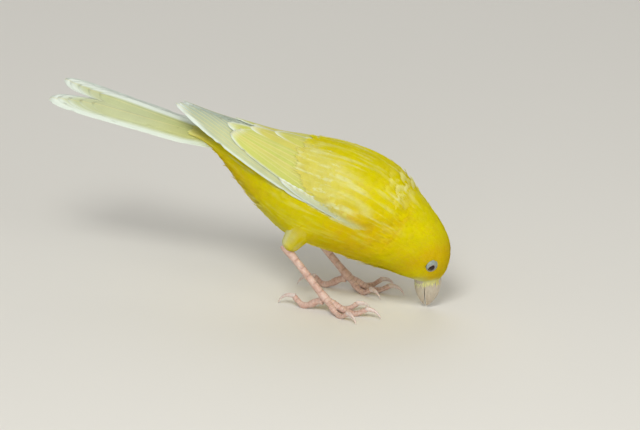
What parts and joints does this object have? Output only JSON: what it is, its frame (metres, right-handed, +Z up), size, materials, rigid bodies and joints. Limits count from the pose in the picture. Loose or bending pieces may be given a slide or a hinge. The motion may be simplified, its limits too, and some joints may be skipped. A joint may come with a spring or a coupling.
{
  "type": "canary",
  "caption": "Life-size yellow canary that stoops to peck at the floor: head turned a little to its left, wings folded, forked tail raised behind.",
  "frame": {"origin": "middle of the bounding box's bottom face, on the floor that the bird stands on", "axes": "+X the way the bird faces, +Y its left, +Z up"},
  "size_m": [0.122, 0.034, 0.0572],
  "materials": {
    "plumage": "soft overlapping body feathers, bright yellow, deeper on head and vent",
    "flight_feathers": "smooth flight and tail feathers, pale lemon with whitish edges",
    "bill": "horn, pinkish beige, low sheen",
    "eye": "wet glossy dark brown",
    "leg_skin": "pinkish tan scaled skin",
    "claw": "pale pinkish horn, slightly translucent"
  },
  "bodies": {
    "root": {"head": "plumage", "neck": "plumage", "torso": "plumage", "rump": "plumage", "thigh_left": "plumage", "thigh_right": "plumage", "wing_left": "flight_feathers", "wing_right": "flight_feathers", "tail": "flight_feathers", "bill_upper": "bill", "bill_lower": "bill", "eye_left": "eye", "eye_right": "eye", "shank_left": "leg_skin", "shank_right": "leg_skin", "foot_left": "leg_skin", "foot_right": "leg_skin", "claw_left_hind": "claw", "claw_left_inner": "claw", "claw_left_middle": "claw", "claw_left_outer": "claw", "claw_right_hind": "claw", "claw_right_inner": "claw", "claw_right_middle": "claw", "claw_right_outer": "claw"}
  },
  "joints": []
}
